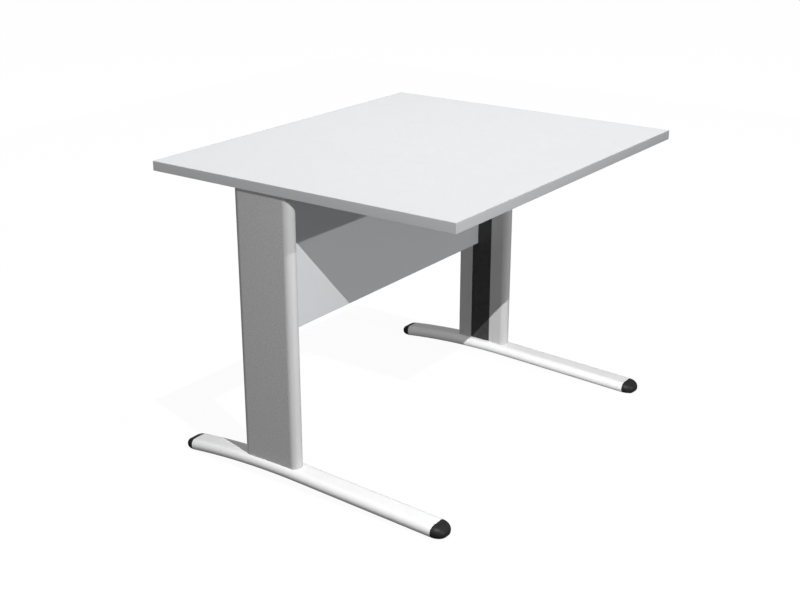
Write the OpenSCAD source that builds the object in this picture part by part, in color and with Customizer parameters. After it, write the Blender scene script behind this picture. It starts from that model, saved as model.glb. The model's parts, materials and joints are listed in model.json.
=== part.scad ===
// Office desk on two C-shaped steel legs, with a modesty panel and cable ducts in the columns.
// Millimetres. Origin on the floor under the middle of the top, +X right, +Y away from the sitter.

/* [Top] */
// Width of the top
top_w = 1000; // [900:10:1600]
// Depth of the top
top_d = 850; // [846:2:900]
// Height of the top's upper face above the floor
top_h = 742; // [740:1:760]
// Thickness of the chipboard core
core_t = 22; // [18:1:28]
// Thickness of the laminate on each face
laminate_t = 0.6; // [0.4:0.1:1]
// Thickness of the edge bands
band_t = 2; // [1:0.5:3]

/* [Columns] */
// Thickness of a column, across the desk
col_t = 36; // [32:1:40]
// Depth of a column, front to back
col_d = 165; // [160:0.5:170]
// Front face of the columns, measured back from the middle of the top
col_y = 21; // [18:0.5:24]
// Distance from the top's side edge to the column's outer face
col_inset = 9.5; // [5:0.5:20]
// Sheet thickness of the columns
col_wall = 1.5; // [1.2:0.1:2]
// Width of the cable slot in the inner face
slot_w = 63; // [50:1:66]
// Front edge of the cable slot, measured from the column's front face
slot_front = 53; // [50:0.5:56]

/* [Feet] */
// Width of the foot tube
foot_w = 60; // [56:1:60]
// Height of the foot tube
foot_h = 30; // [28:1:32]
// Wall thickness of the foot tube
foot_wall = 2; // [1.5:0.5:2.5]
// Where the arched foot is highest, measured back from the middle of the top
crown_y = 95; // [80:1:110]
// Height of the foot's underside at its highest point
crown_z = 18; // [18:0.5:20]
// Bend radius of the foot's underside, from the front run to the rear end
bend_r = 2100; // [2000:50:2200]
// Fall of the straight front run, in degrees
front_fall = 2.1; // [1.8:0.1:2.2]
// Fall at the rear end of the bend, in degrees
rear_fall = 7.1; // [6.8:0.1:7.3]
// Length of the straight front run
front_run = 385; // [370:1:400]
// Length of the end caps outside the tube
cap_len = 30.5; // [28:0.5:34]

/* [Levelling feet] */
// Radius of the levelling pad
pad_r = 10; // [8:0.5:10.5]
// Thickness of the levelling pad
pad_t = 5; // [4:0.5:5]
// Thread radius of the levelling screw
stem_r = 4; // [3:0.5:4]
// Length of the levelling screw above the pad
stem_len = 20.5; // [18:0.5:21]

/* [Panel and arms] */
// Thickness of the modesty panel
panel_t = 18; // [16:1:19]
// Front face of the modesty panel, measured back from the middle of the top
panel_y = 117.4; // [112:0.2:118]
// Lower edge of the modesty panel
panel_low = 346; // [332:1:372]
// Upper edge of the modesty panel
panel_high = 702; // [680:1:703]
// Width of a support arm
arm_w = 40; // [36:1:50]
// Height of a support arm
arm_h = 14; // [13:0.5:14]
// Front end of the support arms
arm_y = -240; // [-300:5:-200]
// Length of the support arms
arm_len = 560; // [500:10:640]

/* [Hidden] */

$fn = 48;
LEFT = -1;
RIGHT = 1;
FRONT = -1;
REAR = 1;
eps = 0.01;

// heights of the top
top_t = core_t + 2 * laminate_t;
under_z = top_h - top_t;

// columns
col_out = top_w / 2 - col_inset;
col_in = col_out - col_t;
slot_y = col_y + slot_front;
slot_top = under_z - arm_h - 1;
lip_depth = 14;
col_base_z = crown_z + foot_h;

// cable covers
cover_gap = 0.3;
cover_sink = 1;
cover_t = 2;
cover_leg = 9;
cover_leg_t = 1.6;
cover_low = col_base_z + 1.5;
cover_split = panel_low - 2;
cover_high = slot_top - 24;

// feet
foot_x = top_w / 2 - foot_w / 2;
foot_r = foot_h / 2;
foot_flat = foot_w - 2 * foot_r;
bolt_y = [col_y + 30, col_y + 138];
bolt_r = 4;
washer_t = 1.6;
washer_gap = 0.4;
base_plate_t = 6;
base_plate_z = col_base_z + 2;

// caps and levelling feet
leveller_out = 11.5;
insert_r = 5.5;
insert_len = 14;
insert_low = 9;
run_fit = 0.05;
hex_low = pad_t + 0.2;
hex_t = 1.8;
hex_r = 7;
key_r = 2.3;
key_deep = 4;
key_hole_r = 3;
seat_z = 2.5;
recess_r = pad_r + 0.8;
recess_top = hex_low + hex_t + 0.5;

// panel, brackets and arms
panel_gap = 1.5;
panel_w = 2 * (col_in - panel_gap);
panel_back = panel_y + panel_t;
bracket_leg = 30;
bracket_t = 2;
bracket_h = 60;
bracket_z = [panel_low + 45, panel_high - 105];
arm_t = 2;
arm_in = col_in - arm_w;
arm_screw_count = 4;
nut_r = 4.5;
nut_len = 12;
m6_r = 3;

function fall(end) = end == FRONT ? front_fall : rear_fall;
// a point on the foot's underside, as [y, z], at an angle round the bend
function bend_point(a) = [crown_y + bend_r * sin(a), crown_z - bend_r + bend_r * cos(a)];
// the underside's last point at an end of the tube, as [y, z]
function tube_end(end) =
    bend_point(end * fall(end)) + (end == FRONT ? front_run * [-cos(front_fall), -sin(front_fall)] : [0, 0]);
// height of the foot's underside inside the bend
function underside(y) = crown_z - bend_r + sqrt(bend_r * bend_r - (y - crown_y) * (y - crown_y));
function leveller_y(end) = tube_end(end)[0] + end * leveller_out;

module on_side(side) {
    mirror([side == LEFT ? 1 : 0, 0, 0]) children();
}

module both_sides() {
    for (side = [LEFT, RIGHT]) on_side(side) children();
}

// ---------------------------------------------------------------- top

module tabletop_core() {
    w = top_w - 2 * band_t;
    d = top_d - 2 * band_t;
    color([0.80, 0.70, 0.54])
    difference() {
        translate([-w / 2, -d / 2, under_z + laminate_t]) cube([w, d, core_t]);
        arm_screw_places() cylinder(r = 2.25, h = 15);
    }
}

module laminate_sheet() {
    w = top_w - 2 * band_t;
    d = top_d - 2 * band_t;
    translate([-w / 2, -d / 2, 0]) cube([w, d, laminate_t]);
}

module tabletop_laminate_upper() {
    color([0.90, 0.905, 0.91]) translate([0, 0, top_h - laminate_t]) laminate_sheet();
}

module tabletop_laminate_lower() {
    color([0.85, 0.855, 0.86])
    difference() {
        translate([0, 0, under_z]) laminate_sheet();
        arm_screw_places() translate([0, 0, -1]) cylinder(r = 2.25, h = 5);
    }
}

// band along the front or the back edge
module edge_band_long(end) {
    y = end == FRONT ? -top_d / 2 : top_d / 2 - band_t;
    color([0.72, 0.73, 0.74]) translate([-top_w / 2, y, under_z]) cube([top_w, band_t, top_t]);
}

// band along a side edge, between the long bands
module edge_band_side(side) {
    color([0.72, 0.73, 0.74])
    on_side(side)
    translate([top_w / 2 - band_t, -top_d / 2 + band_t, under_z])
    cube([band_t, top_d - 2 * band_t, top_t]);
}

// ---------------------------------------------------------------- support arms

// channel with its web against the top, open downwards
module support_arm(side) {
    color([0.70, 0.71, 0.73])
    on_side(side)
    difference() {
        translate([arm_in, arm_y, under_z - arm_h]) cube([arm_w, arm_len, arm_h]);
        translate([arm_in + arm_t, arm_y - 1, under_z - arm_h - 1])
        cube([arm_w - 2 * arm_t, arm_len + 2, arm_h + 1 - arm_t]);
        for (i = [0 : arm_screw_count - 1])
            translate([arm_in + arm_w / 2, arm_screw_y(i), under_z - arm_t - 1]) cylinder(r = 2.6, h = arm_t + 2);
        for (y = bolt_y)
            translate([col_in - arm_t - 1, y, arm_bolt_z()]) rotate([0, 90, 0]) cylinder(r = m6_r, h = arm_t + 2);
    }
}

function arm_screw_y(i) = arm_y + 20 + i * (arm_len - 40) / (arm_screw_count - 1);
function arm_bolt_z() = under_z - arm_h / 2 - arm_t / 2;

// places of the screws into the top, at its underside, on both arms
module arm_screw_places() {
    both_sides()
    for (i = [0 : arm_screw_count - 1])
        translate([arm_in + arm_w / 2, arm_screw_y(i), under_z]) children();
}

// pan-head chipboard screw pointing up, its head under the arm's web
module chipboard_screw(reach, grip) {
    translate([0, 0, -grip]) cylinder(r = 2.25, h = grip + reach);
    difference() {
        translate([0, 0, -grip - 2.8]) cylinder(r1 = 3.6, r2 = 4.75, h = 2.8);
        cross_recess(-grip - 2.8);
    }
}

module cross_recess(z) {
    for (a = [0, 90])
        rotate([0, 0, a]) translate([-2.2, -0.5, z - 1]) cube([4.4, 1, 2.5]);
}

module arm_screws() {
    color([0.75, 0.76, 0.78]) arm_screw_places() chipboard_screw(14, arm_t);
}

// button-head bolt along +X, with its bearing face at x = 0
module m6_bolt(len) {
    rotate([0, 90, 0]) cylinder(r = m6_r, h = len);
    difference() {
        translate([-3, 0, 0]) rotate([0, 90, 0]) cylinder(r1 = 3.4, r2 = 5, h = 3);
        translate([-4, 0, 0]) rotate([0, 90, 0]) cylinder(r = 2, h = 2.6, $fn = 6);
    }
}

module arm_bolts() {
    color([0.75, 0.76, 0.78])
    both_sides()
    for (y = bolt_y)
        translate([col_in - arm_t, y, arm_bolt_z()]) m6_bolt(nut_len);
}

// ---------------------------------------------------------------- columns

// flat oval plan of a column's outside, shrunk all round by an inset
module column_plan(inset) {
    r = col_t / 2;
    for (y = [col_y + r, col_y + col_d - r])
        translate([col_in + r, y]) circle(r = r - inset);
    translate([col_in + inset, col_y + r]) square([col_t - 2 * inset, col_d - 2 * r]);
}

// holes for the rivet nuts in the inner face
module nut_places() {
    for (y = bolt_y)
        translate([col_in, y, arm_bolt_z()]) children();
    for (z = bracket_z)
        translate([col_in, bracket_bolt_y(), z + bracket_h / 2]) children();
}

function bracket_bolt_y() = panel_back + bracket_t + 17;

// folded column: a closed skin, slotted on the inner face, with the slot's edges turned inwards
module column(side) {
    low = col_base_z - 8;
    color([0.76, 0.77, 0.79])
    on_side(side)
    difference() {
        union() {
            difference() {
                translate([0, 0, low])
                linear_extrude(height = under_z - low)
                difference() {
                    column_plan(0);
                    column_plan(col_wall);
                }
                translate([col_in - 1, slot_y, low - 1]) cube([col_wall + 2, slot_w, slot_top - low + 1]);
                nut_places() translate([-1, 0, 0]) rotate([0, 90, 0]) cylinder(r = nut_r, h = col_wall + 2);
            }
            for (y = [slot_y - col_wall, slot_y + slot_w])
                translate([col_in, y, low]) cube([lip_depth, col_wall, slot_top - low]);
        }
        foot_crown_space();
    }
}

module column_top_plate(side) {
    t = 3;
    color([0.70, 0.71, 0.73])
    on_side(side)
    translate([0, 0, under_z - t])
    linear_extrude(height = t) column_plan(col_wall);
}

// plate welded into the column's foot, cut away behind the cable slot, tapped for the foot bolts
module column_base_plate(side) {
    color([0.55, 0.56, 0.58])
    on_side(side)
    difference() {
        translate([0, 0, base_plate_z])
        linear_extrude(height = base_plate_t) column_plan(col_wall);
        translate([col_in, slot_y - col_wall, base_plate_z - 1])
        cube([lip_depth + 1, slot_w + 2 * col_wall, base_plate_t + 2]);
        for (y = bolt_y)
            translate([foot_x, y, base_plate_z - 1]) cylinder(r = bolt_r, h = base_plate_t + 2);
    }
}

// rivet nuts in the columns, flush with the inner face
module rivet_nuts() {
    color([0.80, 0.78, 0.70])
    both_sides()
    nut_places()
    rotate([0, 90, 0])
    difference() {
        cylinder(r = nut_r, h = nut_len);
        translate([0, 0, -1]) cylinder(r = m6_r, h = nut_len + 2);
    }
}

// ---------------------------------------------------------------- cable covers

// clip-in cover: a face plate sunk a little below the column's skin and two legs behind it
module cable_cover(low, high) {
    h = high - low;
    w = slot_w - 2 * cover_gap;
    face_x = col_in + cover_sink;
    translate([face_x, slot_y + cover_gap, low]) cube([cover_t, w, h]);
    for (y = [slot_y + cover_gap, slot_y + slot_w - cover_gap - cover_leg_t])
        translate([face_x + cover_t - eps, y, low]) cube([cover_leg + eps, cover_leg_t, h]);
}

module upper_cable_cover(side) {
    color([0.16, 0.16, 0.17]) on_side(side) cable_cover(cover_split + 0.4, cover_high);
}

module lower_cable_cover(side) {
    color([0.16, 0.16, 0.17]) on_side(side) cable_cover(cover_low, cover_split);
}

// ---------------------------------------------------------------- modesty panel

module modesty_panel() {
    w = panel_w - 2 * band_t;
    color([0.84, 0.845, 0.85])
    difference() {
        translate([-w / 2, panel_y, panel_low + band_t])
        cube([w, panel_t, panel_high - panel_low - 2 * band_t]);
        panel_screw_places() cylinder(r = 2.25, h = 13);
    }
}

module panel_edge_bands() {
    color([0.80, 0.805, 0.81]) {
        for (z = [panel_low, panel_high - band_t])
            translate([-panel_w / 2, panel_y, z]) cube([panel_w, panel_t, band_t]);
        for (x = [-panel_w / 2, panel_w / 2 - band_t])
            translate([x, panel_y, panel_low + band_t])
            cube([band_t, panel_t, panel_high - panel_low - 2 * band_t]);
    }
}

// two screws in each bracket, with +Z pointing into the panel's back face
module panel_screw_places() {
    both_sides()
    for (z = bracket_z, dz = [15, bracket_h - 15])
        translate([col_in - bracket_leg + 10, panel_back, z + dz]) rotate([90, 0, 0]) children();
}

module panel_screws() {
    color([0.75, 0.76, 0.78]) panel_screw_places() chipboard_screw(12, bracket_t);
}

// angle brackets between the panel's back and the columns' rear flanges
module panel_brackets() {
    color([0.70, 0.71, 0.73])
    difference() {
        both_sides()
        for (z = bracket_z) {
            translate([col_in - bracket_leg, panel_back, z]) cube([bracket_leg, bracket_t, bracket_h]);
            translate([col_in - bracket_t, panel_back + bracket_t, z])
            cube([bracket_t, bracket_leg - bracket_t, bracket_h]);
        }
        panel_screw_places() translate([0, 0, -bracket_t - 1]) cylinder(r = 2.6, h = bracket_t + 2);
        bracket_bolt_places() translate([-1, 0, 0]) rotate([0, 90, 0]) cylinder(r = m6_r, h = 4);
    }
}

module bracket_bolt_places() {
    both_sides()
    for (z = bracket_z)
        translate([col_in - bracket_t, bracket_bolt_y(), z + bracket_h / 2]) children();
}

module bracket_bolts() {
    color([0.75, 0.76, 0.78]) bracket_bolt_places() m6_bolt(nut_len);
}

// ---------------------------------------------------------------- feet

// flat oval section of the foot tube shrunk by an inset: x is the height above the bend's axis, y is across
module foot_section(inset) {
    translate([bend_r + foot_r, 0]) {
        for (y = [-1, 1])
            translate([0, y * foot_flat / 2]) circle(r = foot_r - inset);
        square([foot_h - 2 * inset, foot_flat], center = true);
    }
}

// the arched outside of a right foot: straight front run and bend, shrunk by an inset
module foot_outside(inset, spare = 0) {
    translate([foot_x, crown_y, crown_z - bend_r])
    rotate([0, -90, 0])
    rotate([0, 0, -front_fall]) {
        rotate_extrude(angle = front_fall + rear_fall + asin(spare / bend_r), $fn = 720) foot_section(inset);
        rotate([90, 0, 0]) linear_extrude(height = front_run + spare) foot_section(inset);
    }
}

// the space that the bend takes up under a column: flat crown, and a half round along each side
module foot_crown_space() {
    translate([foot_x, crown_y, crown_z - bend_r])
    rotate([0, -90, 0]) {
        translate([0, 0, -foot_flat / 2]) cylinder(r = bend_r + foot_h, h = foot_flat, $fn = 720);
        translate([0, 0, -foot_w / 2]) cylinder(r = bend_r + foot_r, h = foot_w, $fn = 720);
        for (z = [-foot_flat / 2, foot_flat / 2])
            rotate_extrude($fn = 720) translate([bend_r + foot_r, z]) circle(r = foot_r);
    }
}

module foot_tube(side) {
    color([0.86, 0.865, 0.88])
    on_side(side)
    difference() {
        foot_outside(0);
        foot_outside(foot_wall, 1);
        for (y = bolt_y)
            translate([foot_x, y, 0]) cylinder(r = bolt_r + 0.5, h = col_base_z + 10);
    }
}

module foot_bolt_places() {
    both_sides()
    for (y = bolt_y)
        translate([foot_x, y, underside(y) - washer_gap - washer_t]) children();
}

// low-head socket bolt pointing up, with its bearing face at z = 0
module foot_bolts() {
    length = base_plate_z + base_plate_t - crown_z + washer_t + 3;
    head_t = 3.4;
    color([0.75, 0.76, 0.78])
    foot_bolt_places() {
        cylinder(r = bolt_r, h = length);
        difference() {
            translate([0, 0, -head_t]) cylinder(r1 = 5.5, r2 = 7, h = head_t);
            translate([0, 0, -head_t - 1]) cylinder(r = 2.9, h = 3.8, $fn = 6);
        }
    }
}

module foot_washers() {
    color([0.78, 0.79, 0.80])
    foot_bolt_places()
    difference() {
        cylinder(r = 8, h = washer_t);
        translate([0, 0, -1]) cylinder(r = bolt_r + 0.2, h = washer_t + 2);
    }
}

// sleeves that keep the bolts from crushing the tubes
module foot_sleeves() {
    color([0.60, 0.61, 0.63])
    both_sides()
    for (y = bolt_y)
        translate([foot_x, y, underside(y) + foot_wall + 0.4])
        difference() {
            cylinder(r = 7, h = foot_h - 2 * foot_wall - 0.8);
            translate([0, 0, -1]) cylinder(r = bolt_r + 0.5, h = foot_h);
        }
}

// frame at a tube's end: x across, y outwards along the tube, z up from the tube's underside
module foot_end(end) {
    p = tube_end(end);
    translate([foot_x, p[0], p[1]])
    rotate([-end * fall(end), 0, 0])
    scale([1, end, 1]) children();
}

// the tube's section standing in the end frame, as a slab of a given thickness
module section_slab(inset, t) {
    rotate([-90, 0, 0])
    rotate([0, 0, -90])
    translate([-bend_r, 0, 0])
    linear_extrude(height = t) foot_section(inset);
}

// rounded toe of a cap: slabs that shrink towards the tip, skinned together
module cap_toe() {
    steps = 7;
    mid_z = foot_h * 0.34;
    hull()
    for (i = [0 : steps]) {
        a = 88 * i / steps;
        s = pow(cos(a), 0.8);
        translate([0, (cap_len - 0.2) * sin(a), mid_z * (1 - s)]) scale([s, 1, s]) section_slab(0, 0.2, $fn = 32);
    }
}

// plugged cap with a recess in its sole for the levelling pad
module end_cap(side, end) {
    plug_len = 28;
    plug_gap = 0.35;
    plug_wall = 2.5;
    color([0.12, 0.12, 0.13])
    on_side(side)
    difference() {
        foot_end(end) {
            cap_toe();
            difference() {
                translate([0, -plug_len, 0]) section_slab(foot_wall + plug_gap, plug_len + 0.5);
                translate([0, -plug_len - 1, 0])
                section_slab(foot_wall + plug_gap + plug_wall, plug_len - 2);
            }
        }
        translate([foot_x, leveller_y(end), 0]) {
            translate([0, 0, -pad_t]) cylinder(r = recess_r, h = pad_t + recess_top);
            cylinder(r = stem_r + 0.6, h = stem_len + hex_low + 1);
            translate([0, 0, insert_low]) cylinder(r = insert_r, h = insert_len);
        }
    }
}

// ---------------------------------------------------------------- levelling feet

module leveller_place(side, end) {
    on_side(side) translate([foot_x, leveller_y(end), 0]) children();
}

module leveller_inserts() {
    color([0.80, 0.66, 0.36])
    for (side = [LEFT, RIGHT], end = [FRONT, REAR])
        leveller_place(side, end)
        translate([0, 0, insert_low])
        difference() {
            cylinder(r = insert_r, h = insert_len);
            translate([0, 0, -1]) cylinder(r = stem_r + run_fit, h = insert_len + 2);
        }
}

// moulded pad with a chamfered rim, a socket for the screw's foot and a hole for the key
module leveller_pad(side, end) {
    rim = 1.2;
    color([0.08, 0.08, 0.09])
    leveller_place(side, end)
    difference() {
        rotate_extrude()
        polygon([
            [0, 0], [pad_r - rim / 2, 0], [pad_r, rim / 2],
            [pad_r, pad_t - rim], [pad_r - rim, pad_t], [0, pad_t]
        ]);
        translate([0, 0, seat_z]) cylinder(r = stem_r + run_fit, h = pad_t);
        translate([0, 0, -1]) cylinder(r = key_hole_r, h = pad_t);
    }
}

// levelling screw: threaded stem, a hexagon above the pad, and a foot with a key socket in the pad
module leveller_screw(side, end) {
    foot_z = seat_z + run_fit;
    color([0.75, 0.76, 0.78])
    leveller_place(side, end)
    difference() {
        union() {
            translate([0, 0, foot_z]) cylinder(r = stem_r, h = hex_low + stem_len - foot_z);
            translate([0, 0, hex_low]) cylinder(r = hex_r, h = hex_t, $fn = 6);
        }
        translate([0, 0, foot_z - 1]) cylinder(r = key_r, h = key_deep + 1, $fn = 6);
    }
}

// ---------------------------------------------------------------- the desk, piece by piece

tabletop_core();
tabletop_laminate_upper();
tabletop_laminate_lower();
edge_band_long(FRONT);  // edge_band_front
edge_band_long(REAR);  // edge_band_back
edge_band_side(LEFT);  // edge_band_left
edge_band_side(RIGHT);  // edge_band_right
modesty_panel();
panel_edge_bands();
panel_brackets();
panel_screws();
bracket_bolts();
support_arm(LEFT);  // support_arm_left
support_arm(RIGHT);  // support_arm_right
arm_screws();
arm_bolts();
rivet_nuts();
column(LEFT);  // column_left
column(RIGHT);  // column_right
column_top_plate(LEFT);  // column_top_plate_left
column_top_plate(RIGHT);  // column_top_plate_right
column_base_plate(LEFT);  // column_base_plate_left
column_base_plate(RIGHT);  // column_base_plate_right
upper_cable_cover(LEFT);  // upper_cable_cover_left
upper_cable_cover(RIGHT);  // upper_cable_cover_right
lower_cable_cover(LEFT);  // lower_cable_cover_left
lower_cable_cover(RIGHT);  // lower_cable_cover_right
foot_tube(LEFT);  // foot_tube_left
foot_tube(RIGHT);  // foot_tube_right
foot_bolts();
foot_washers();
foot_sleeves();
end_cap(LEFT, FRONT);  // end_cap_front_left
end_cap(RIGHT, FRONT);  // end_cap_front_right
end_cap(LEFT, REAR);  // end_cap_rear_left
end_cap(RIGHT, REAR);  // end_cap_rear_right
leveller_inserts();
leveller_pad(LEFT, FRONT);  // leveller_pad_front_left
leveller_pad(RIGHT, FRONT);  // leveller_pad_front_right
leveller_pad(LEFT, REAR);  // leveller_pad_rear_left
leveller_pad(RIGHT, REAR);  // leveller_pad_rear_right
leveller_screw(LEFT, FRONT);  // leveller_screw_front_left
leveller_screw(RIGHT, FRONT);  // leveller_screw_front_right
leveller_screw(LEFT, REAR);  // leveller_screw_rear_left
leveller_screw(RIGHT, REAR);  // leveller_screw_rear_right
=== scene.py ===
import json
import math

import bmesh
import bpy
from mathutils import Matrix, Vector


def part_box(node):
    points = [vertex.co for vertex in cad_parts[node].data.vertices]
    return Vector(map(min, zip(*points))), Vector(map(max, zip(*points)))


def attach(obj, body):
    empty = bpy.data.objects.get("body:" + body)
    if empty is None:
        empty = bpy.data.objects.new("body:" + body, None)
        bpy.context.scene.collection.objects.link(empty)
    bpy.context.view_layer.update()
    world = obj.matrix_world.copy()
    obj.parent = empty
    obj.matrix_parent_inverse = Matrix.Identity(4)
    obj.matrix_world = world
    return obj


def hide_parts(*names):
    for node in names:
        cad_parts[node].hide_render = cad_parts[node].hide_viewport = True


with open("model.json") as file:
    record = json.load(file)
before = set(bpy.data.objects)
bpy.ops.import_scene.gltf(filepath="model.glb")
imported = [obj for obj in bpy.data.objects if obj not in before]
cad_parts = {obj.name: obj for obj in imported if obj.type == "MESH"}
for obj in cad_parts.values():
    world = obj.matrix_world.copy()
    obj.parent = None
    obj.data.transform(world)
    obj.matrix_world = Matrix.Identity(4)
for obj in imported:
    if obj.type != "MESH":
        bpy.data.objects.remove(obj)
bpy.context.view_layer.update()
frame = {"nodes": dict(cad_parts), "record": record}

SIDES = {"left": -1, "right": 1}
ENDS = {"front": -1, "rear": 1}
MM = 0.001


# ---------------------------------------------------------------- node helpers

def add_node(tree, kind, **settings):
    node = tree.nodes.new(kind)
    for key, value in settings.items():
        setattr(node, key, value)
    return node


def object_texture(tree, kind, scale, stretch):
    """A texture node in object space, whose scale counts its blobs or cells in a metre."""
    coords = add_node(tree, "ShaderNodeTexCoord")
    mapping = add_node(tree, "ShaderNodeMapping")
    mapping.inputs["Scale"].default_value = stretch
    texture = add_node(tree, kind)
    texture.inputs["Scale"].default_value = scale
    tree.links.new(coords.outputs["Object"], mapping.inputs["Vector"])
    tree.links.new(mapping.outputs["Vector"], texture.inputs["Vector"])
    return texture


def noise(tree, scale, detail=2.0, stretch=(1, 1, 1)):
    """A noise value from 0 to 1."""
    texture = object_texture(tree, "ShaderNodeTexNoise", scale, stretch)
    texture.inputs["Detail"].default_value = detail
    return texture.outputs["Fac"]


def cells(tree, scale, stretch):
    """A random colour for each cell of a Voronoi pattern."""
    return object_texture(tree, "ShaderNodeTexVoronoi", scale, stretch).outputs["Color"]


def to_range(tree, value, low, high, start=0.3, stop=0.7):
    """Maps a value that runs from start to stop onto the range from low to high."""
    node = add_node(tree, "ShaderNodeMapRange")
    for key, number in (("From Min", start), ("From Max", stop), ("To Min", low), ("To Max", high)):
        node.inputs[key].default_value = number
    tree.links.new(value, node.inputs["Value"])
    return node.outputs["Result"]


def mix(tree, factor, dark, light):
    """A colour between two, each a colour or another node's output."""
    node = add_node(tree, "ShaderNodeMix", data_type="RGBA")
    tree.links.new(factor, node.inputs["Factor"])
    for socket, colour in ((node.inputs[6], dark), (node.inputs[7], light)):
        if isinstance(colour, tuple):
            socket.default_value = (*colour, 1)
        else:
            tree.links.new(colour, socket)
    return node.outputs[2]


def shade(colour, factor):
    return tuple(min(1.0, channel * factor) for channel in colour)


def material(name, roughness, metallic=0.0, specular=0.5, coat=0.0):
    """A new principled material, with its tree and its shader."""
    made = bpy.data.materials.new(name)
    made.use_nodes = True
    shader = made.node_tree.nodes["Principled BSDF"]
    shader.inputs["Roughness"].default_value = roughness
    shader.inputs["Metallic"].default_value = metallic
    shader.inputs["Specular IOR Level"].default_value = specular
    shader.inputs["Coat Weight"].default_value = coat
    return made, made.node_tree, shader


def set_colour(tree, shader, output):
    tree.links.new(output, shader.inputs["Base Color"])


def set_roughness(tree, shader, value, low, high):
    tree.links.new(to_range(tree, value, low, high), shader.inputs["Roughness"])


def set_bump(tree, shader, height, depth, strength=1.0):
    """Raises the surface by up to depth metres where height is 1."""
    bump = add_node(tree, "ShaderNodeBump")
    bump.inputs["Strength"].default_value = strength
    bump.inputs["Distance"].default_value = depth
    tree.links.new(height, bump.inputs["Height"])
    tree.links.new(bump.outputs["Normal"], shader.inputs["Normal"])


# ---------------------------------------------------------------- materials

def laminate_material():
    """Light grey high-pressure laminate: a pearl texture and a very faint fleck."""
    made, tree, shader = material("top_laminate", roughness=0.42)
    base = (0.775, 0.785, 0.80)
    fleck = to_range(tree, noise(tree, 420, 4), 0, 1)
    cloud = to_range(tree, noise(tree, 5, 3), 0, 1)
    flecked = mix(tree, fleck, shade(base, 0.985), shade(base, 1.012))
    clouded = mix(tree, fleck, shade(base, 0.992), shade(base, 1.02))
    set_colour(tree, shader, mix(tree, cloud, flecked, clouded))
    set_roughness(tree, shader, noise(tree, 60, 3), 0.38, 0.46)
    set_bump(tree, shader, noise(tree, 900, 2), 0.00003)
    return made


def band_material():
    """ABS edging, a shade darker than the laminate, with faint extrusion streaks."""
    made, tree, shader = material("edge_band", roughness=0.4)
    base = (0.49, 0.494, 0.503)
    streak = to_range(tree, noise(tree, 900, 2, (0.02, 0.02, 1)), 0, 1)
    set_colour(tree, shader, mix(tree, streak, shade(base, 0.96), shade(base, 1.03)))
    set_roughness(tree, shader, noise(tree, 120, 2), 0.36, 0.46)
    set_bump(tree, shader, noise(tree, 1400, 2, (0.2, 0.2, 1)), 0.00003)
    return made


def panel_material():
    """Melamine-faced board in mid grey."""
    made, tree, shader = material("panel_board", roughness=0.5, specular=0.35)
    base = (0.46, 0.467, 0.482)
    fleck = to_range(tree, noise(tree, 500, 4), 0, 1)
    set_colour(tree, shader, mix(tree, fleck, shade(base, 0.985), shade(base, 1.015)))
    set_roughness(tree, shader, noise(tree, 90, 3), 0.45, 0.56)
    set_bump(tree, shader, noise(tree, 1100, 2), 0.00004)
    return made


def column_material():
    """Silver powder coat: streaked in front and inside, grained on the outer faces, which are also a
    little darker there as painted shade for the low-angle light on them.
    """
    made, tree, shader = material("column_paint", roughness=0.5, specular=0.35)
    streaked = (0.475, 0.475, 0.477)
    # The outer faces' tone is a little darker than the front's: painted shade for the low-angle key light
    # on those faces. Only the grain is the coat's own.
    grained_shaded_tone = (0.455, 0.455, 0.455)
    coords = add_node(tree, "ShaderNodeTexCoord")
    split = add_node(tree, "ShaderNodeSeparateXYZ")
    across = add_node(tree, "ShaderNodeMath", operation="ABSOLUTE")
    tree.links.new(coords.outputs["Object"], split.inputs["Vector"])
    tree.links.new(split.outputs["X"], across.inputs[0])
    outer_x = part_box("column_right")[1].x
    outer = to_range(tree, across.outputs[0], 0, 1, outer_x - 0.9 * MM, outer_x - 0.1 * MM)
    grain = to_range(tree, noise(tree, 330, 3), 0, 1, 0.35, 0.65)
    streak = to_range(tree, noise(tree, 260, 2, (1, 1, 0.03)), 0, 1)
    front_finish = mix(tree, streak, shade(streaked, 0.97), shade(streaked, 1.03))
    # Outer faces: real grain on a tone darkened as painted shade.
    outer_grain_and_shade = mix(tree, grain, shade(grained_shaded_tone, 0.88), shade(grained_shaded_tone, 1.12))
    set_colour(tree, shader, mix(tree, outer, front_finish, outer_grain_and_shade))
    set_roughness(tree, shader, noise(tree, 330, 3), 0.42, 0.6)
    set_bump(tree, shader, noise(tree, 700, 3), 0.00012, 0.6)
    return made


def foot_material():
    """Smooth light enamel with a faint orange peel."""
    made, tree, shader = material("foot_paint", roughness=0.38, specular=0.4, coat=0.15)
    shader.inputs["Coat Roughness"].default_value = 0.2
    base = (0.82, 0.82, 0.825)
    cloud = to_range(tree, noise(tree, 40, 3), 0, 1)
    set_colour(tree, shader, mix(tree, cloud, shade(base, 0.985), shade(base, 1.015)))
    set_roughness(tree, shader, noise(tree, 150, 2), 0.34, 0.44)
    set_bump(tree, shader, noise(tree, 380, 1), 0.00004, 0.5)
    return made


def steel_material():
    """Grey powder coat on the parts under the top."""
    made, tree, shader = material("hidden_steel", roughness=0.5)
    base = (0.42, 0.425, 0.44)
    cloud = to_range(tree, noise(tree, 200, 4), 0, 1)
    set_colour(tree, shader, mix(tree, cloud, shade(base, 0.94), shade(base, 1.05)))
    set_roughness(tree, shader, noise(tree, 300, 3), 0.42, 0.58)
    set_bump(tree, shader, noise(tree, 800, 2), 0.0001, 0.5)
    return made


def zinc_material():
    """Bright zinc plate, slightly uneven."""
    made, tree, shader = material("zinc_steel", roughness=0.3, metallic=1.0)
    cloud = to_range(tree, noise(tree, 500, 3), 0, 1)
    set_colour(tree, shader, mix(tree, cloud, (0.56, 0.57, 0.58), (0.72, 0.73, 0.72)))
    set_roughness(tree, shader, noise(tree, 900, 3), 0.24, 0.42)
    return made


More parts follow.
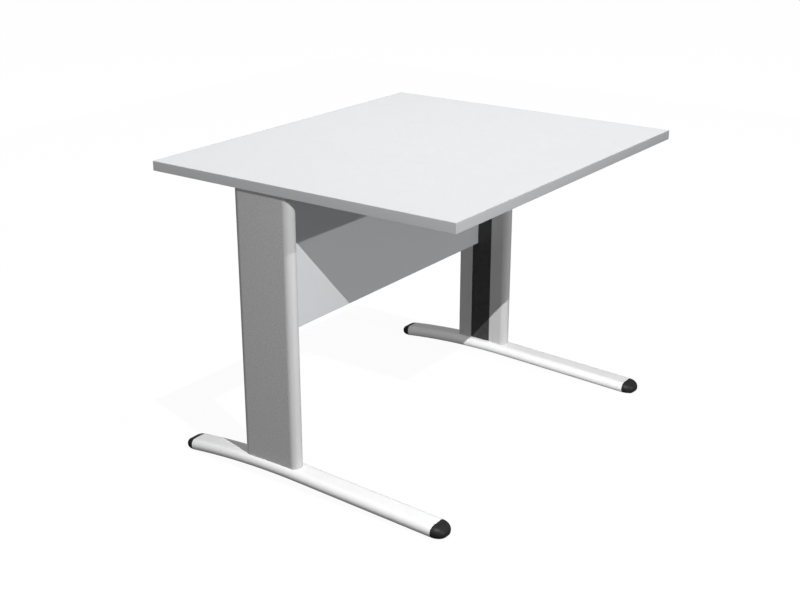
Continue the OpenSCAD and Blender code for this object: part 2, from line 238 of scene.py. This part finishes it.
def brass_material():
    """Turned brass with fine rings round the upright axis."""
    made, tree, shader = material("brass", roughness=0.3, metallic=1.0)
    ring = to_range(tree, noise(tree, 2500, 1, (0.01, 0.01, 1)), 0, 1)
    set_colour(tree, shader, mix(tree, ring, (0.66, 0.5, 0.22), (0.78, 0.62, 0.32)))
    set_roughness(tree, shader, noise(tree, 700, 2), 0.22, 0.38)
    return made


def moulded_material(name, base, roughness, specular, grain_scale):
    """Moulded black plastic with an eroded grain, a little lighter where it is rubbed."""
    made, tree, shader = material(name, roughness=roughness, specular=specular)
    rub = to_range(tree, noise(tree, 70, 4), 0, 1)
    set_colour(tree, shader, mix(tree, rub, shade(base, 0.85), shade(base, 1.2)))
    set_roughness(tree, shader, noise(tree, 250, 3), roughness - 0.06, roughness + 0.06)
    set_bump(tree, shader, noise(tree, grain_scale, 2), 0.00005, 0.7)
    return made


def chipboard_material():
    """Pressed chips of several browns."""
    made, tree, shader = material("chipboard", roughness=0.8, specular=0.2)
    chips = cells(tree, 350, (1, 0.5, 2.2))
    grey = add_node(tree, "ShaderNodeRGBToBW")
    tree.links.new(chips, grey.inputs["Color"])
    chip = to_range(tree, grey.outputs["Val"], 0, 1, 0.1, 0.9)
    set_colour(tree, shader, mix(tree, chip, (0.34, 0.22, 0.11), (0.68, 0.52, 0.33)))
    set_bump(tree, shader, chip, 0.0002, 0.6)
    return made


MATERIALS = {
    "top_laminate": laminate_material(),
    "edge_band": band_material(),
    "panel_board": panel_material(),
    "column_paint": column_material(),
    "foot_paint": foot_material(),
    "hidden_steel": steel_material(),
    "zinc_steel": zinc_material(),
    "brass": brass_material(),
    "black_plastic": moulded_material("black_plastic", (0.044, 0.044, 0.045), 0.5, 0.4, 1300),
    "cap_plastic": moulded_material("cap_plastic", (0.019, 0.019, 0.02), 0.5, 0.25, 1600),
    "pad_plastic": moulded_material("pad_plastic", (0.018, 0.018, 0.019), 0.6, 0.3, 1000),
    "chipboard": chipboard_material(),
}


# ---------------------------------------------------------------- mesh helpers

SMOOTH_ANGLE = math.radians(35)


def new_piece(name, mesh_data, body, slot, *replaced, smooth_angle=SMOOTH_ANGLE):
    """Makes a piece from a bmesh, with its finish, and lets it ride on a body in place of CAD nodes."""
    bmesh.ops.recalc_face_normals(mesh_data, faces=mesh_data.faces)
    mesh = bpy.data.meshes.new(name)
    mesh_data.to_mesh(mesh)
    mesh_data.free()
    mesh.shade_smooth()
    mesh.set_sharp_from_angle(angle=smooth_angle)
    mesh.materials.append(MATERIALS[slot])
    piece = bpy.data.objects.new(name, mesh)
    bpy.context.scene.collection.objects.link(piece)
    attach(piece, body)
    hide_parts(*replaced)
    return piece


def add_box(mesh_data, low, high):
    """Adds a box between two corners and returns its edges."""
    size = [high[i] - low[i] for i in range(3)]
    middle = [(high[i] + low[i]) / 2 for i in range(3)]
    place = Matrix.Translation(middle) @ Matrix.Diagonal((*size, 1))
    made = bmesh.ops.create_cube(mesh_data, size=1, matrix=place)
    return list({edge for vert in made["verts"] for edge in vert.link_edges})


def round_edges(mesh_data, edges, radius, segments=4):
    bmesh.ops.bevel(mesh_data, geom=edges, offset=radius, segments=segments, profile=0.5, affect="EDGES")


def skin_rings(mesh_data, rings, joined_ends=False):
    """Joins rings of points into a tube, and closes its ends or joins the last ring to the first."""
    loops = [[mesh_data.verts.new(point) for point in ring] for ring in rings]
    count = len(loops[0])
    for lower, upper in zip(loops, loops[1:] + loops[:1] if joined_ends else loops[1:]):
        for i in range(count):
            j = (i + 1) % count
            mesh_data.faces.new((lower[i], lower[j], upper[j], upper[i]))
    if not joined_ends:
        mesh_data.faces.new(loops[0][::-1])
        mesh_data.faces.new(loops[-1])


def level_ring(centre, height, reach, count):
    """A level ring of points; reach is its radius, or a function that gives the radius for a direction."""
    points = []
    for i in range(count):
        turn = 2 * math.pi * i / count
        radius = reach(turn) if callable(reach) else reach
        points.append((centre.x + radius * math.cos(turn), centre.y + radius * math.sin(turn), height))
    return points


def turned(mesh_data, profile, centre):
    """Turns a closed profile of (radius, height) points round an upright axis."""
    rings = [level_ring(centre, height, radius, 64) for radius, height in profile]
    skin_rings(mesh_data, rings, joined_ends=True)


def cut_away(piece, profile, centre):
    """Cuts a turned shape out of a piece and keeps the result as its mesh."""
    mesh_data = bmesh.new()
    skin_rings(mesh_data, [level_ring(centre, height, radius, 48) for radius, height in profile])
    bmesh.ops.recalc_face_normals(mesh_data, faces=mesh_data.faces)
    mesh = bpy.data.meshes.new("cutter")
    mesh_data.to_mesh(mesh)
    mesh_data.free()
    cutter = bpy.data.objects.new("cutter", mesh)
    bpy.context.scene.collection.objects.link(cutter)
    cut = piece.modifiers.new("cut", "BOOLEAN")
    cut.operation = "DIFFERENCE"
    cut.object = cutter
    cut.solver = "EXACT"
    graph = bpy.context.evaluated_depsgraph_get()
    result = bpy.data.meshes.new_from_object(piece.evaluated_get(graph))
    piece.modifiers.clear()
    piece.data = result
    bpy.data.objects.remove(cutter)
    result.set_sharp_from_angle(angle=SMOOTH_ANGLE)


# ---------------------------------------------------------------- top and panel

BAND_RADIUS = 0.8 * MM
TOUCH = MM / 10  # corners closer than this lie on the same face


def edge_band_long(end):
    """A front or back band: every edge is rounded except those against the board."""
    low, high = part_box("edge_band_" + end)
    inner_y = high.y if end == "front" else low.y
    mesh_data = bmesh.new()
    edges = add_box(mesh_data, low, high)
    shown = [e for e in edges if any(abs(v.co.y - inner_y) > TOUCH for v in e.verts)]
    round_edges(mesh_data, shown, BAND_RADIUS)
    new_piece("band_" + end, mesh_data, "root", "edge_band", "edge_band_" + end)


def edge_band_side(side):
    """A side band between the long ones: only its two long outer edges are rounded."""
    low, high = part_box("edge_band_" + side)
    outer_x = low.x if side == "left" else high.x
    mesh_data = bmesh.new()
    edges = add_box(mesh_data, low, high)
    outer = [e for e in edges if all(abs(v.co.x - outer_x) < TOUCH for v in e.verts)]
    long_outer = [e for e in outer if e.calc_length() > high.z - low.z + TOUCH]
    round_edges(mesh_data, long_outer, BAND_RADIUS)
    new_piece("band_" + side, mesh_data, "root", "edge_band", "edge_band_" + side)


def panel_bands():
    """The thin bands round the panel, their outer edges rounded."""
    low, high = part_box("panel_edge_bands")
    core_low, core_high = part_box("modesty_panel")
    mesh_data = bmesh.new()
    strips = [
        (low, (high.x, high.y, core_low.z)),
        ((low.x, low.y, core_high.z), high),
        ((low.x, low.y, core_low.z), (core_low.x, high.y, core_high.z)),
        ((core_high.x, low.y, core_low.z), (high.x, high.y, core_high.z)),
    ]
    for strip_low, strip_high in strips:
        edges = add_box(mesh_data, strip_low, strip_high)
        outer = [e for e in edges if on_rim(e, low, high)]
        round_edges(mesh_data, outer, BAND_RADIUS, 3)
    new_piece("panel_bands", mesh_data, "root", "panel_board", "panel_edge_bands")


def on_rim(edge, low, high):
    """True for an edge along the panel's rim: in a front or back face and on the outside."""
    a, b = (v.co for v in edge.verts)
    if abs(a.y - b.y) > TOUCH:
        return False
    level = any(abs(a.z - z) < TOUCH and abs(b.z - z) < TOUCH for z in (low.z, high.z))
    upright = any(abs(a.x - x) < TOUCH and abs(b.x - x) < TOUCH for x in (low.x, high.x))
    return level or upright


# ---------------------------------------------------------------- cable covers

def cover_profile(width, depth):
    """Section of a cable cover as (depth into the column, place across) points.

    The face has rounded edges and two moulded lines, and the legs end in small inward beads."""
    half = width / 2
    face_t = 2.0 * MM
    leg_t = 1.6 * MM
    corner = 0.5 * MM
    line_in, line_half, line_deep = 6 * MM, 0.6 * MM, 0.5 * MM
    bead = 0.8 * MM
    right = [(0, half - line_in - line_half), (line_deep, half - line_in), (0, half - line_in + line_half)]
    for step in range(4):
        turn = math.radians(30 * step)
        right.append((corner - corner * math.cos(turn), half - corner + corner * math.sin(turn)))
    right += [
        (depth, half),
        (depth, half - leg_t),
        (depth - bead, half - leg_t - bead / 2),
        (depth - 2 * bead, half - leg_t),
        (face_t, half - leg_t),
    ]
    left = [(u, -v) for u, v in reversed(right)]
    return right + left


def cable_cover(which, side, body):
    node = f"{which}_cable_cover_{side}"
    low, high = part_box(node)
    sign = SIDES[side]
    face_x = low.x if side == "right" else high.x
    middle_y = (low.y + high.y) / 2
    profile = cover_profile(high.y - low.y, high.x - low.x)
    mesh_data = bmesh.new()
    rings = [[(face_x + sign * u, middle_y + v, z) for u, v in profile] for z in (low.z, high.z)]
    skin_rings(mesh_data, rings)
    new_piece(f"{which}_cover_{side}", mesh_data, body, "black_plastic", node)


# ---------------------------------------------------------------- end caps

FOOT_H = 30 * MM
FOOT_WALL = 2 * MM
FALL = {"front": math.radians(2.1), "rear": math.radians(7.1)}
CAP_LEN = 30.5 * MM
CAP_STEPS = 26
CAP_LAST_TURN = math.radians(89.2)
TOE_UP = 0.34 * FOOT_H  # height of the toe's tip over the tube's underside
TOE_FULLNESS = 0.8      # 1 gives a half circle, less a blunter toe
TOE_SPACING = 0.9       # below 1 the rings stand closer towards the tip


class TubeEnd:
    """The frame at a foot tube's end, whose origin is the lower middle of the end face."""

    def __init__(self, side, end):
        tube = frame["nodes"]["foot_tube_" + side]
        low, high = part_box("foot_tube_" + side)
        self.half = (high.x - low.x) / 2
        self.x = (low.x + high.x) / 2
        self.sign = ENDS[end]
        self.fall = FALL[end]
        last = high.y if end == "rear" else low.y
        near = [v.co for v in tube.data.vertices if abs(v.co.y - last) < 8 * MM]
        lowest = min(near, key=lambda point: point.z)
        self.y, self.z = lowest.y, lowest.z

    def at(self, across, out, up):
        """World place of a point given across the tube, outwards along it and up from its underside."""
        y = self.y + self.sign * (out * math.cos(self.fall) + up * math.sin(self.fall))
        z = self.z - out * math.sin(self.fall) + up * math.cos(self.fall)
        return (self.x + across, y, z)


def foot_outline(half, inset=0.0, count=17):
    """The tube's flat oval as (across, up) points, shrunk all round by an inset."""
    radius = FOOT_H / 2
    points = []
    for middle, start in ((half - radius, -90), (radius - half, 90)):
        for i in range(count):
            turn = math.radians(start + 180 * i / (count - 1))
            points.append((
                middle + (radius - inset) * math.cos(turn),
                radius + (radius - inset) * math.sin(turn),
            ))
    return points


def end_cap(side, end):
    """A moulded cap: rounded toe, a fine groove at the tube's edge, and a hollow plug in the tube.

    Its sole is cut out for the pad, the insert and the screw's stem."""
    tube = TubeEnd(side, end)
    pad_low, pad_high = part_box(f"leveller_pad_{end}_{side}")
    plug_len, plug_wall, plug_bevel, cap_wall = 28 * MM, 2.5 * MM, 0.6 * MM, 3.5 * MM
    plug_inset = FOOT_WALL + 0.35 * MM
    groove_out, groove_deep, groove_bevel = 0.5 * MM, 0.45 * MM, 0.3 * MM
    rings = [
        [tube.at(x, out, z) for x, z in foot_outline(tube.half, inset)]
        for out, inset in (
            (-cap_wall, plug_inset + plug_wall),
            (-plug_len, plug_inset + plug_wall),
            (-plug_len, plug_inset + plug_bevel),
            (-plug_len + plug_bevel, plug_inset),
            (0, plug_inset),
            (0, groove_deep),
            (groove_out, groove_deep),
            (groove_out + groove_bevel, 0),
        )
    ]
    first = math.asin((groove_out + groove_bevel) / CAP_LEN)
    for i in range(1, CAP_STEPS + 1):
        turn = first + (CAP_LAST_TURN - first) * (i / CAP_STEPS) ** TOE_SPACING
        size = math.cos(turn) ** TOE_FULLNESS
        rings.append([
            tube.at(x * size, CAP_LEN * math.sin(turn), TOE_UP + (z - TOE_UP) * size)
            for x, z in foot_outline(tube.half)
        ])
    mesh_data = bmesh.new()
    skin_rings(mesh_data, rings)
    cap = new_piece(f"cap_{end}_{side}", mesh_data, "root", "cap_plastic", f"end_cap_{end}_{side}")
    recess_r = (pad_high.x - pad_low.x) / 2 + 0.8 * MM
    recess_top = pad_high.z + 2.5 * MM
    insert_low, insert_top, insert_r = 9 * MM, 23 * MM, 5.5 * MM
    stem_top, stem_r = 26.7 * MM, 4.6 * MM
    chamfer, below_sole = 0.5 * MM, -5 * MM
    cut_away(cap, [
        (recess_r + chamfer, below_sole),
        (recess_r, recess_top - chamfer),
        (recess_r - chamfer, recess_top),
        (stem_r, recess_top),
        (stem_r, insert_low),
        (insert_r, insert_low),
        (insert_r, insert_top),
        (stem_r, insert_top),
        (stem_r, stem_top),
    ], (pad_low + pad_high) / 2)


# ---------------------------------------------------------------- levelling feet

STEM_R = 4 * MM
THREAD_PITCH = 1.25 * MM
THREAD_DEPTH = 0.65 * MM
# The pad's upper edge from the outside in, as distances in from its rim and down from its top
STEPPED_TOP = [
    (0, 1.4 * MM), (0.3 * MM, 1.1 * MM), (1.2 * MM, 0.9 * MM), (1.5 * MM, 0.2 * MM), (1.8 * MM, 0),
]


def leveller_pad(side, end):
    """A moulded pad: stepped top, socket, key hole, and two shallow rings in its sole."""
    low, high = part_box(f"leveller_pad_{end}_{side}")
    radius = (high.x - low.x) / 2
    top = high.z
    key_r, socket_r, seat = 3 * MM, STEM_R + 0.05 * MM, 2.5 * MM
    groove_half, groove_floor, groove_deep = 0.5 * MM, 0.2 * MM, 0.4 * MM
    sole_edge, sole_bevel, lead_in = 0.6 * MM, 0.2 * MM, 0.3 * MM
    profile = [(key_r, low.z)]
    for groove_r in (5 * MM, 7.2 * MM):
        profile += [
            (groove_r - groove_half, low.z),
            (groove_r - groove_floor, low.z + groove_deep),
            (groove_r + groove_floor, low.z + groove_deep),
            (groove_r + groove_half, low.z),
        ]
    profile += [
        (radius - sole_edge, low.z),
        (radius - sole_bevel, low.z + sole_bevel),
        (radius, low.z + sole_edge),
    ]
    for step_in, step_down in STEPPED_TOP:
        profile.append((radius - step_in, top - step_down))
    profile += [
        (socket_r + lead_in, top),
        (socket_r, top - lead_in),
        (socket_r, seat),
        (key_r, seat),
    ]
    mesh_data = bmesh.new()
    turned(mesh_data, profile, (low + high) / 2)
    new_piece(f"pad_{end}_{side}", mesh_data, f"pad_{end}_{side}", "pad_plastic",
              f"leveller_pad_{end}_{side}", smooth_angle=math.radians(28))


def hexagon(radius, turn):
    """Distance from the middle to a hexagon's side, for a corner radius and a direction."""
    sixth = math.pi / 3
    return radius * math.cos(sixth / 2) / math.cos((turn % sixth) - sixth / 2)


def leveller_screw(side, end):
    """M8 levelling screw: key socket in its foot, a hexagon above the pad, and a cut thread."""
    low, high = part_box(f"leveller_screw_{end}_{side}")
    hex_r = (high.x - low.x) / 2
    centre = (low + high) / 2
    foot, top = low.z, high.z
    hex_low = 5.2 * MM
    hex_top = hex_low + 1.8 * MM
    key_r, key_top = 2.3 * MM, foot + 4 * MM
    chamfer = 0.5 * MM

    corner_bevel, corner_cut = 0.35 * MM, 0.6 * MM
    steps_a_pitch = 8

    def ring(height, reach):
        return level_ring(centre, height, reach, 36)

    def nut_ring(height, cut):
        return ring(height, lambda turn: min(hexagon(hex_r, turn), hex_r - cut))

    def thread_ring(height):
        def reach(turn):
            """The thread's flanks with flat crests and roots, fading out at both ends."""
            phase = (height / THREAD_PITCH - turn / (2 * math.pi)) % 1
            ridge = min(1, max(0, 1.25 * (1 - abs(2 * phase - 1)) - 0.1))
            fade = min(1, (height - hex_top) / THREAD_PITCH, (top - height) / THREAD_PITCH + 0.2)
            return STEM_R - THREAD_DEPTH * (1 - ridge) * max(0, fade)
        return ring(height, reach)

    rings = [
        ring(key_top, lambda turn: hexagon(key_r, turn)),
        ring(foot + 0.3 * MM, lambda turn: hexagon(key_r, turn)),
        ring(foot, key_r + 0.3 * MM),
        ring(foot, STEM_R - chamfer),
        ring(foot + chamfer, STEM_R),
        ring(hex_low, STEM_R),
        nut_ring(hex_low, corner_cut),
        nut_ring(hex_low + corner_bevel, 0),
        nut_ring(hex_top - corner_bevel, 0),
        nut_ring(hex_top, corner_cut),
        ring(hex_top, STEM_R),
    ]
    thread_len = top - chamfer - hex_top
    steps = round(thread_len / THREAD_PITCH * steps_a_pitch)
    for i in range(1, steps + 1):
        rings.append(thread_ring(hex_top + thread_len * i / steps))
    rings.append(ring(top, STEM_R - THREAD_DEPTH - 0.2 * MM))
    mesh_data = bmesh.new()
    skin_rings(mesh_data, rings)
    new_piece(f"screw_{end}_{side}", mesh_data, f"screw_{end}_{side}", "zinc_steel",
              f"leveller_screw_{end}_{side}", smooth_angle=math.radians(50))


# ---------------------------------------------------------------- the pieces

for end in ENDS:
    edge_band_long(end if end == "front" else "back")
for side in SIDES:
    edge_band_side(side)
panel_bands()
for side in SIDES:
    cable_cover("upper", side, "root")
    cable_cover("lower", side, "cover_" + side)
    for end in ENDS:
        end_cap(side, end)
        leveller_pad(side, end)
        leveller_screw(side, end)


# ---------------------------------------------------------------- finishes on the CAD pieces

def paint_cad():
    """Gives every CAD piece the material of its slot in the record."""
    slots = {entry["node"]: entry["material_slot"] for entry in frame["record"]["subparts"]}
    for name, piece in frame["nodes"].items():
        for socket in piece.material_slots:
            socket.material = MATERIALS[slots[name]]


paint_cad()


# ---------------------------------------------------------------- stage, light and camera

def add_light(name, kind, energy):
    lamp = bpy.data.lights.new(name, kind)
    lamp.energy = energy
    holder = bpy.data.objects.new(name, lamp)
    bpy.context.scene.collection.objects.link(holder)
    return holder


def sun(name, direction, strength):
    """A sun that shines along a direction, with crisp shadows."""
    holder = add_light(name, "SUN", strength)
    holder.data.angle = math.radians(0.5)
    holder.rotation_mode = "QUATERNION"
    holder.rotation_quaternion = Vector(direction).to_track_quat("-Z", "Y")
    return holder


def fill_lights(strength):
    """Four weak lights from the corners of the room that cast no shadow and make no highlight."""
    for end, along in (("front", 1), ("back", -1)):
        for side, across in (("left", 1), ("right", -1)):
            holder = sun(f"fill_{end}_{side}", (across, along, -0.35), strength)
            holder.data.use_shadow = False
            holder.visible_glossy = False


def even_lamp(name, place, power):
    """A small lamp that is as strong far away as near."""
    holder = add_light(name, "POINT", power)
    holder.location = place
    lamp = holder.data
    lamp.shadow_soft_size = 0.8 * MM
    lamp.use_nodes = True
    tree = lamp.node_tree
    falloff = add_node(tree, "ShaderNodeLightFalloff")
    falloff.inputs["Strength"].default_value = 1
    tree.links.new(falloff.outputs["Constant"], tree.nodes["Emission"].inputs["Strength"])
    return holder


def link_light(holder, pieces, state):
    """Lets a light reach only the given pieces (INCLUDE), or all but them (EXCLUDE)."""
    group = bpy.data.collections.new(holder.name + "_" + state.lower())
    holder.light_linking.receiver_collection = group
    for piece in pieces:
        group.objects.link(piece)
    for entry in group.collection_objects:
        entry.light_linking.link_state = state


def studio_lamps(key_power, bands_power, overhead_power):
    """A key lamp and the bands' own lamp, both off the top's front left corner, and one overhead."""
    top_low, top_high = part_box("tabletop_laminate_upper")
    corner = Vector((top_low.x, top_low.y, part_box("tabletop_laminate_lower")[0].z))
    bands = [bpy.data.objects["band_" + name] for name in ("front", "back", "left", "right")]
    key = even_lamp("key", corner + 0.27 * Vector((-0.933, -0.841, 1)), key_power)
    link_light(key, [frame["nodes"]["tabletop_laminate_upper"], *bands], "EXCLUDE")
    link_light(even_lamp("bands", corner + Vector((-0.79, -0.7, 0)), bands_power), bands, "INCLUDE")
    even_lamp("overhead", Vector((0.3, -0.2, top_high.z + 2)), overhead_power)


def studio_world(sky, ground):
    """Soft light from the upper half of the room; the camera sees plain white."""
    world = bpy.data.worlds.new("studio")
    bpy.context.scene.world = world
    world.use_nodes = True
    tree = world.node_tree
    lit = tree.nodes["Background"]
    lit.inputs["Strength"].default_value = 1
    coords = add_node(tree, "ShaderNodeTexCoord")
    split = add_node(tree, "ShaderNodeSeparateXYZ")
    tree.links.new(coords.outputs["Generated"], split.inputs["Vector"])
    height = to_range(tree, split.outputs["Z"], 0, 1, -0.05, 0.05)
    colour = mix(tree, height, (ground, ground, ground), (sky, sky, sky))
    tree.links.new(colour, lit.inputs["Color"])
    white = add_node(tree, "ShaderNodeBackground")
    white.inputs["Color"].default_value = (1, 1, 1, 1)
    white.inputs["Strength"].default_value = 1.02
    path = add_node(tree, "ShaderNodeLightPath")
    both = add_node(tree, "ShaderNodeMixShader")
    tree.links.new(path.outputs["Is Camera Ray"], both.inputs["Fac"])
    tree.links.new(lit.outputs[0], both.inputs[1])
    tree.links.new(white.outputs[0], both.inputs[2])
    tree.links.new(both.outputs[0], tree.nodes["World Output"].inputs["Surface"])


def studio_floor(radius):
    """A white floor that glows, so that shadows on it stay faint, and lights nothing itself."""
    mesh_data = bmesh.new()
    bmesh.ops.create_circle(mesh_data, cap_ends=True, segments=96, radius=radius)
    mesh = bpy.data.meshes.new("floor")
    mesh_data.to_mesh(mesh)
    mesh_data.free()
    made, tree, shader = material("floor", roughness=1.0, specular=0.0)
    shader.inputs["Base Color"].default_value = (0.05, 0.05, 0.05, 1)
    shader.inputs["Emission Color"].default_value = (1, 1, 1, 1)
    shader.inputs["Emission Strength"].default_value = 0.95
    mesh.materials.append(made)
    floor = bpy.data.objects.new("floor", mesh)
    bpy.context.scene.collection.objects.link(floor)
    floor.visible_diffuse = False
    floor.visible_glossy = False


def photo_camera():
    azimuth = math.radians(-54.332)
    elevation = math.radians(20.634)
    data = bpy.data.cameras.new("camera")
    data.sensor_width = 36
    data.lens = 56.6135
    data.clip_start = 0.05
    data.clip_end = 200
    camera = bpy.data.objects.new("camera", data)
    camera.location = (-2.49565, -1.72037, 1.47544)
    back = Vector((
        math.sin(azimuth) * math.cos(elevation),
        -math.cos(azimuth) * math.cos(elevation),
        math.sin(elevation),
    ))
    camera.rotation_mode = "QUATERNION"
    camera.rotation_quaternion = (-back).to_track_quat("-Z", "Y")
    bpy.context.scene.collection.objects.link(camera)
    bpy.context.scene.camera = camera


bpy.context.scene.view_settings.view_transform = "Standard"
photo_camera()
studio_world(sky=0.22, ground=0.05)
studio_floor(radius=30)
studio_lamps(key_power=36.8, bands_power=22.4, overhead_power=31.6)
sun("front", direction=(0, 1, -0.297), strength=1.03)
fill_lights(strength=0.38)
